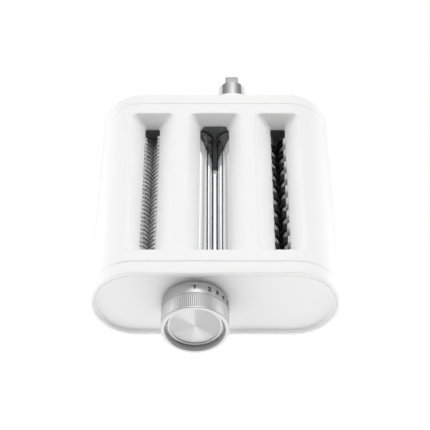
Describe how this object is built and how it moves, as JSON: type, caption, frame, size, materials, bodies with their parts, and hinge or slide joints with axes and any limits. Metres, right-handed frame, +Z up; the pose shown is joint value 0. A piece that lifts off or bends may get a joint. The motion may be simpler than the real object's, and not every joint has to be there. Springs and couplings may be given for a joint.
{
  "type": "pasta roller and cutter attachment",
  "caption": "Stand-mixer pasta attachment: a flat white housing with three feed wells, smooth sheet rollers with a gap dial, and fine and wide cutter rolls.",
  "frame": {"origin": "centre of the bounding box's underside, on the surface that the flat underside rests on", "axes": "+Z up out of the feed wells; +Y from the gap dial towards the mixer, along every roll axis; +X to the right seen from the dial"},
  "size_m": [0.2, 0.3136, 0.073],
  "materials": {
    "white_plastic": "satin white moulded plastic",
    "dark_plate": "dark grey coated plate",
    "polished_steel": "polished",
    "satin_aluminium": "spun and satin",
    "cutter_steel": "ground",
    "black_steel": "dark ground",
    "gear_plastic": "acetal, natural",
    "bronze": "sintered bronze",
    "zinc": "zinc plated",
    "spring_steel": "drawn wire"
  },
  "bodies": {
    "housing": {"main_shell": "white_plastic", "front_end_cap": "white_plastic", "rear_end_cap": "white_plastic", "outlet_cover": "white_plastic", "cover_screw_1": "zinc", "cover_screw_2": "zinc", "cover_screw_3": "zinc", "cover_screw_4": "zinc", "front_bearing_plate": "dark_plate", "front_frame_plate": "dark_plate", "rear_frame_plate": "dark_plate", "tie_rod_1": "zinc", "tie_rod_2": "zinc", "tie_rod_3": "zinc", "tie_rod_4": "zinc", "front_drive_bush": "bronze", "rear_drive_bush": "bronze", "idler_axle": "zinc", "fine_comb_inner": "white_plastic", "fine_comb_outer": "white_plastic", "wide_comb_inner": "white_plastic", "wide_comb_outer": "white_plastic", "spindle_bush": "bronze", "hub_boss": "white_plastic", "hub_barrel": "polished_steel"},
    "drive": {"fixed_roller": "polished_steel", "drive_shaft": "polished_steel", "fixed_roller_gear": "gear_plastic", "drive_gear": "gear_plastic"},
    "idler": {"idler_gear": "gear_plastic"},
    "gap_slide": {"front_bearing_block": "bronze", "rear_bearing_block": "bronze"},
    "moving_roller": {"adjustable_roller": "polished_steel", "adjustable_roller_gear": "gear_plastic"},
    "wide_inner": {"wide_roll_inner": "black_steel", "wide_cutter_drive_gear": "gear_plastic", "wide_inner_gear": "gear_plastic"},
    "wide_outer": {"wide_roll_outer": "black_steel", "wide_outer_gear": "gear_plastic"},
    "fine_inner": {"fine_roll_inner": "cutter_steel", "fine_cutter_drive_gear": "gear_plastic", "fine_inner_gear": "gear_plastic"},
    "fine_outer": {"fine_roll_outer": "cutter_steel", "fine_outer_gear": "gear_plastic"},
    "adjuster": {"adjuster_spindle": "polished_steel", "front_cam": "zinc", "rear_cam": "zinc", "spring_collar": "zinc", "knob_spring": "spring_steel"},
    "knob": {"dial_ring": "satin_aluminium", "knob_grip": "satin_aluminium", "knob_face_disc": "satin_aluminium", "knob_stop_pin": "zinc"}
  },
  "joints": [
    {"name": "drive_spin", "type": "hinge", "parent": "housing", "child": "drive", "pos_m": [0.0154, -0.0092, 0.0365], "axis": [0, 1, 0], "continuous": true},
    {"name": "idler_spin", "type": "hinge", "parent": "housing", "child": "idler", "pos_m": [-0.0148, -0.0092, 0.02433], "axis": [0, 1, 0], "continuous": true},
    {"name": "wide_inner_spin", "type": "hinge", "parent": "housing", "child": "wide_inner", "pos_m": [0.045, -0.0092, 0.0365], "axis": [0, 1, 0], "continuous": true},
    {"name": "wide_outer_spin", "type": "hinge", "parent": "housing", "child": "wide_outer", "pos_m": [0.065, -0.0092, 0.0365], "axis": [0, 1, 0], "continuous": true},
    {"name": "fine_inner_spin", "type": "hinge", "parent": "housing", "child": "fine_inner", "pos_m": [-0.045, -0.0092, 0.0365], "axis": [0, 1, 0], "continuous": true},
    {"name": "fine_outer_spin", "type": "hinge", "parent": "housing", "child": "fine_outer", "pos_m": [-0.065, -0.0092, 0.0365], "axis": [0, 1, 0], "continuous": true},
    {"name": "knob_turn", "type": "hinge", "parent": "housing", "child": "adjuster", "pos_m": [-0.01585, -0.1292, 0.0365], "axis": [0, -1, 0], "range_deg": [0, 116.4]},
    {"name": "knob_pull", "type": "slide", "parent": "adjuster", "child": "knob", "axis": [0, -1, 0], "range_m": [0, 0.004], "stiffness_N_per_m": 600, "springref_m": -0.004, "deforming": ["knob_spring"]},
    {"name": "roller_gap", "type": "slide", "parent": "housing", "child": "gap_slide", "axis": [1, 0, 0], "range_m": [0, 0.0021]},
    {"name": "moving_roller_spin", "type": "hinge", "parent": "gap_slide", "child": "moving_roller", "pos_m": [-0.01585, -0.0092, 0.0365], "axis": [0, 1, 0], "continuous": true}
  ],
  "couplings": [
    {"joint": "idler_spin", "follows": "drive_spin", "ratio": -0.83333},
    {"joint": "wide_inner_spin", "follows": "drive_spin", "ratio": -1},
    {"joint": "wide_outer_spin", "follows": "drive_spin", "ratio": 1},
    {"joint": "fine_inner_spin", "follows": "drive_spin", "ratio": 1},
    {"joint": "fine_outer_spin", "follows": "drive_spin", "ratio": -1},
    {"joint": "moving_roller_spin", "follows": "drive_spin", "ratio": -1},
    {"joint": "knob_turn", "follows": "roller_gap", "rad_per_m": 967.36}
  ]
}
